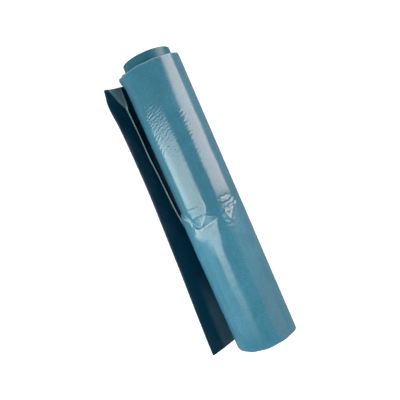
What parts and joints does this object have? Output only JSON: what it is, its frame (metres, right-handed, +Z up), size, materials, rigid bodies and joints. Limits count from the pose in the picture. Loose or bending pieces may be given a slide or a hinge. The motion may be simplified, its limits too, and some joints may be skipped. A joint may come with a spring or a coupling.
{
  "type": "film sack roll",
  "caption": "Coreless roll of perforated blue polythene sacks in C-folded film, with its inner wraps telescoped out and a loose, folded tail.",
  "frame": {"origin": "on the flat strip that the roll rests on, under the roll's axis and at mid-length, where the film's two folded panels meet", "axes": "+Y along the roll's axis towards the end where the inner wraps stand out, +Z up, -X towards the loose tail"},
  "size_m": [0.1066, 0.3622, 0.0749],
  "materials": {
    "film_inner": "wound translucent blue film, layer edges showing on the ends",
    "film_outer": "wound translucent blue film, layer edges showing on the ends",
    "film_wrap": "glossy blue film with fine wrinkles",
    "film_tail": "glossy film, inner face, paler",
    "film_tail_end": "glossy dark teal film"
  },
  "bodies": {
    "outer_wind": {"bag_16": "film_outer", "bag_17": "film_outer", "bag_18": "film_outer", "bag_19": "film_outer", "bag_20": "film_outer", "bag_21": "film_outer", "bag_22": "film_outer", "bag_23": "film_outer", "bag_24": "film_outer", "bag_25_wrap": "film_wrap", "bag_25_tail_root": "film_tail"},
    "inner_wind": {"bag_01": "film_inner", "bag_02": "film_inner", "bag_03": "film_inner", "bag_04": "film_inner", "bag_05": "film_inner", "bag_06": "film_inner", "bag_07": "film_inner", "bag_08": "film_inner", "bag_09": "film_inner", "bag_10": "film_inner", "bag_11": "film_inner", "bag_12": "film_inner", "bag_13": "film_inner", "bag_14": "film_inner", "bag_15": "film_inner"},
    "tail_flap": {"bag_25_tail_flap": "film_tail"},
    "tail_end": {"bag_25_tail_end": "film_tail_end"}
  },
  "joints": [
    {"name": "core_slide", "type": "slide", "parent": "outer_wind", "child": "inner_wind", "axis": [0, 1, 0], "range_m": [-0.0244, 0.08]},
    {"name": "flap_flex", "type": "hinge", "parent": "outer_wind", "child": "tail_flap", "pos_m": [-0.03, 0, 0.00359], "axis": [0, 1, 0], "range_deg": [-33, 14], "stiffness_Nm_per_rad": 0.05, "springref_deg": 2.58},
    {"name": "end_unfold", "type": "hinge", "parent": "tail_flap", "child": "tail_end", "pos_m": [-0.06525, 0, 0.0295], "axis": [-0.0243, -0.9997, 0], "range_deg": [-3, 170], "stiffness_Nm_per_rad": 0.01, "springref_deg": 2.29}
  ]
}
